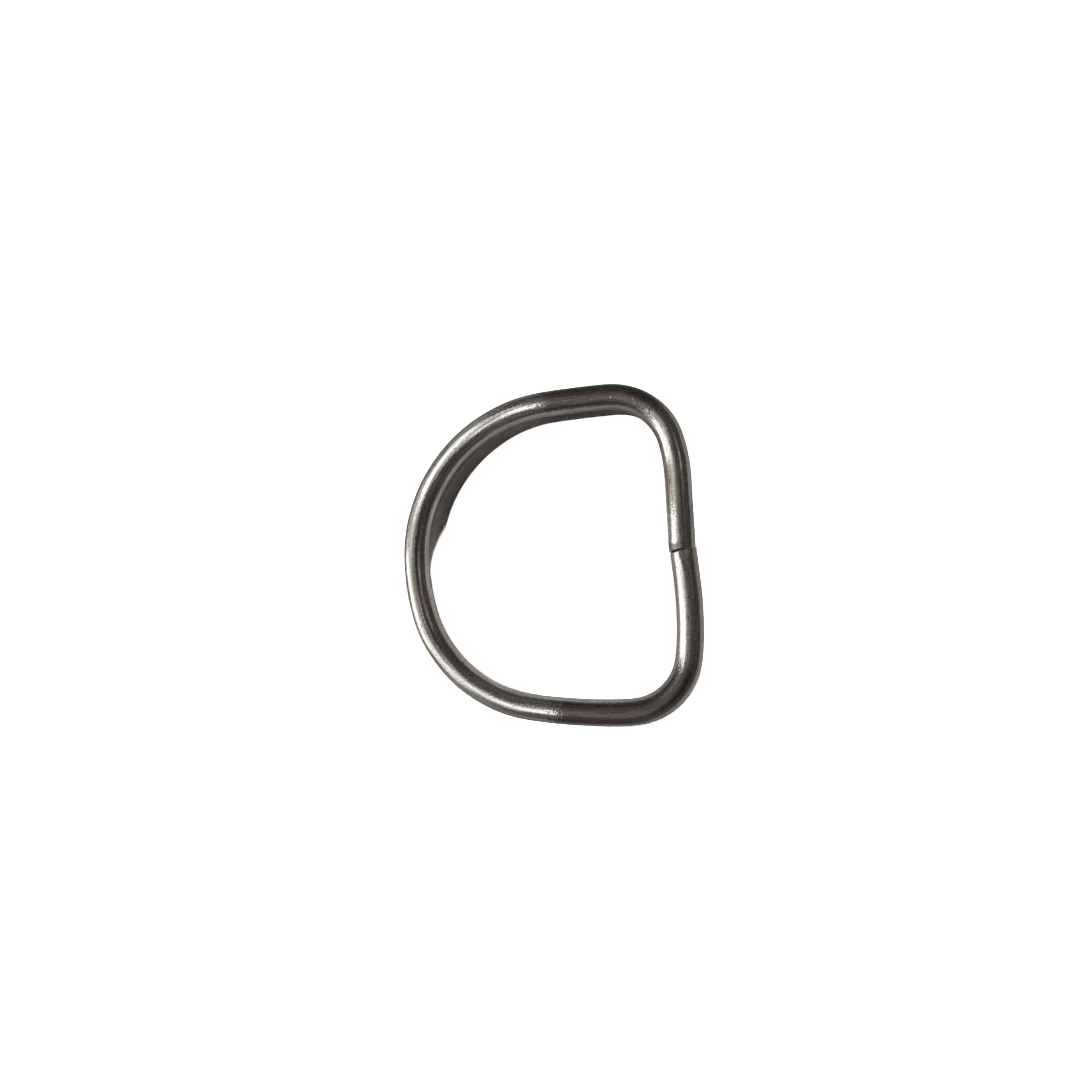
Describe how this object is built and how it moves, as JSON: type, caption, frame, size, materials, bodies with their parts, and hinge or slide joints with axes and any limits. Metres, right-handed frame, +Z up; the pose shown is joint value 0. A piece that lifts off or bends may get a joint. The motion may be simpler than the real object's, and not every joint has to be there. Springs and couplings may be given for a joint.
{
  "type": "d ring",
  "caption": "D-shaped ring of bent round steel wire, butt welded in its straight bar, that holds webbing and takes a hook or cord.",
  "frame": {"origin": "middle of the ring's outline, on the face that it lies on", "axes": "+Z up out of the ring's plane, the straight bar along Y on the +X side, the bow on the -X side, the weld at X 24.4 mm, Y -0.6 mm"},
  "size_m": [0.0546, 0.062, 0.0048],
  "materials": {
    "steel": "polished stainless steel wire, fine lengthwise drawing lines, dull at the weld"
  },
  "bodies": {
    "root": {"d_ring": "steel"}
  },
  "joints": []
}
